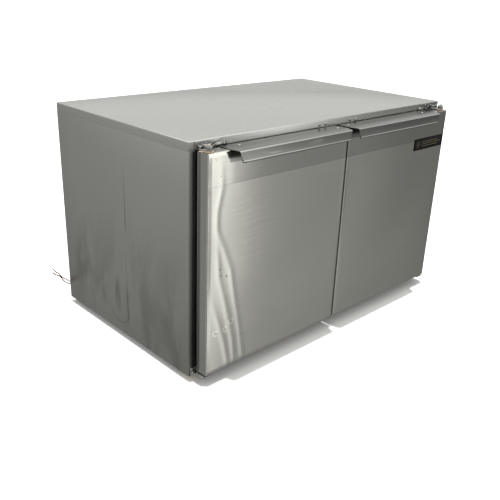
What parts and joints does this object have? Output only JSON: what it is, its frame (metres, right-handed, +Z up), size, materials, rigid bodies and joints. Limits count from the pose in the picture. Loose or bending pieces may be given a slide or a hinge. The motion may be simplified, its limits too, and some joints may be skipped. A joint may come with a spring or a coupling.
{
  "type": "undercounter refrigerator",
  "caption": "Two-door stainless undercounter refrigerator with a flat worktop, sheet pulls over the door tops, plated corner hinges and a rear condensing unit.",
  "frame": {"origin": "centre of the unit's footprint, handles included and supply leads left out, at floor level", "axes": "+X along the width to the viewer's right when facing the doors, +Y to the back, +Z up"},
  "size_m": [1.2775, 0.8184, 0.743],
  "materials": {
    "stainless_worktop": "brushed, dulled by fine scratches and wiping marks",
    "stainless_body": "brushed, dull, with dark scuffs low on the sides",
    "stainless_doors": "brushed across, slightly wavy sheet",
    "galvanised_steel": "galvanised, dull spangle",
    "chrome_hinges": "plated, bright, slightly pitted",
    "liner_aluminium": "mill finish, light satin",
    "black_breaker": "satin moulded black",
    "black_gasket": "soft black vinyl",
    "pale_nylon": "pale tan nylon",
    "rigid_foam": "rigid polyurethane foam, fine closed cells",
    "coil_fins": "mill finish",
    "black_enamel": "stoved black enamel",
    "copper": "drawn copper, slightly tarnished",
    "shelf_wire": "zinc plated wire, clear coat",
    "grey_plastic": "moulded grey",
    "brown_pvc": "brown wire insulation",
    "dark_pvc": "dark olive wire insulation"
  },
  "bodies": {
    "cabinet": {"worktop": "stainless_worktop", "side_panel_left": "stainless_body", "side_panel_right": "stainless_body", "front_rail": "stainless_body", "center_mullion": "stainless_body", "rear_cover": "galvanised_steel", "bottom_panel": "galvanised_steel", "base_rail_left": "galvanised_steel", "base_rail_right": "galvanised_steel", "condensing_base": "galvanised_steel", "condenser_shroud": "galvanised_steel", "junction_box": "galvanised_steel", "top_hinge_left": "chrome_hinges", "top_hinge_right": "chrome_hinges", "bottom_hinge_left": "chrome_hinges", "bottom_hinge_right": "chrome_hinges", "cabinet_liner": "liner_aluminium", "evaporator_cover": "liner_aluminium", "drain_pan": "liner_aluminium", "pilaster_left_front": "liner_aluminium", "pilaster_left_rear": "liner_aluminium", "pilaster_right_front": "liner_aluminium", "pilaster_right_rear": "liner_aluminium", "pilaster_mullion": "liner_aluminium", "pilaster_center_rear": "liner_aluminium", "breaker_frame": "black_breaker", "lead_gland": "black_breaker", "insulation": "rigid_foam", "evaporator_coil": "coil_fins", "condenser_coil": "coil_fins", "compressor": "black_enamel", "condenser_fan_motor": "black_enamel", "evaporator_fan_motor": "black_enamel", "suction_line": "copper", "filter_drier": "copper", "thermostat": "grey_plastic", "condensate_pan": "grey_plastic", "drain_tube": "grey_plastic", "lead_brown": "brown_pvc", "lead_dark": "dark_pvc"},
    "left_door": {"left_door_skin": "stainless_doors", "left_door_core": "rigid_foam", "left_door_liner": "liner_aluminium", "left_door_gasket": "black_gasket", "left_door_top_bush": "pale_nylon", "left_door_spring_cartridge": "pale_nylon", "left_door_handle": "stainless_doors"},
    "right_door": {"right_door_skin": "stainless_doors", "right_door_core": "rigid_foam", "right_door_liner": "liner_aluminium", "right_door_gasket": "black_gasket", "right_door_top_bush": "pale_nylon", "right_door_spring_cartridge": "pale_nylon", "right_door_handle": "stainless_doors", "name_plate": "black_breaker"},
    "left_shelf": {"shelf_left": "shelf_wire"},
    "right_shelf": {"shelf_right": "shelf_wire"},
    "evaporator_fan": {"evaporator_fan_blade": "black_breaker"},
    "condenser_fan": {"condenser_fan_blade": "coil_fins"},
    "temperature_knob": {"thermostat_knob": "black_breaker"}
  },
  "joints": [
    {"name": "left_door_hinge", "type": "hinge", "parent": "cabinet", "child": "left_door", "pos_m": [-0.5695, -0.348, 0.378], "axis": [0, 0, -1], "range_deg": [0, 120], "stiffness_Nm_per_rad": 1.2},
    {"name": "right_door_hinge", "type": "hinge", "parent": "cabinet", "child": "right_door", "pos_m": [0.5695, -0.348, 0.378], "axis": [0, 0, 1], "range_deg": [0, 120], "stiffness_Nm_per_rad": 1.2},
    {"name": "left_shelf_lift", "type": "slide", "parent": "cabinet", "child": "left_shelf", "axis": [0, 0, 1], "range_m": [0, 0.04]},
    {"name": "right_shelf_lift", "type": "slide", "parent": "cabinet", "child": "right_shelf", "axis": [0, 0, 1], "range_m": [0, 0.04]},
    {"name": "evaporator_fan_spin", "type": "hinge", "parent": "cabinet", "child": "evaporator_fan", "pos_m": [-0.1195, 0.101, 0.615], "axis": [0, 1, 0], "continuous": true},
    {"name": "condenser_fan_spin", "type": "hinge", "parent": "cabinet", "child": "condenser_fan", "pos_m": [0.0355, 0.302, 0.17], "axis": [0, 1, 0], "continuous": true},
    {"name": "temperature_knob_turn", "type": "hinge", "parent": "cabinet", "child": "temperature_knob", "pos_m": [0.1695, 0.03, 0.615], "axis": [0, 1, 0], "range_deg": [0, 270]}
  ]
}
